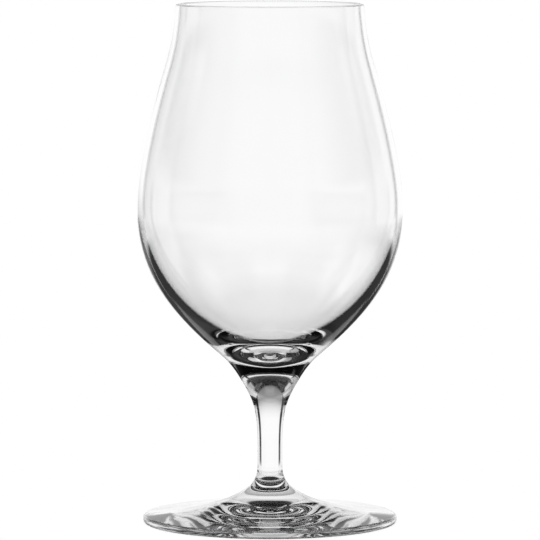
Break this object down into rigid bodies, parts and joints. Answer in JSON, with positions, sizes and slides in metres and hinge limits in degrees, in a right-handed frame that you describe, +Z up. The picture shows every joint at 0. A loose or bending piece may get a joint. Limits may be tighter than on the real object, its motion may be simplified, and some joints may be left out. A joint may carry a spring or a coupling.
{
  "type": "tulip beer glass",
  "caption": "Clear stemmed tulip beer glass: a blown bowl with a straightened lip and thick solid base, a waisted stem and a round foot.",
  "frame": {"origin": "centre of the foot's ring, on the surface that the glass stands on", "axes": "+Z up along the axis of revolution, X and Y in the plane of the foot"},
  "size_m": [0.091, 0.091, 0.178],
  "materials": {
    "bowl_glass": "clear, fire polished",
    "stem_glass": "clear, fire polished",
    "foot_glass": "clear, fire polished"
  },
  "bodies": {
    "root": {"bowl": "bowl_glass", "stem": "stem_glass", "foot": "foot_glass"}
  },
  "joints": []
}
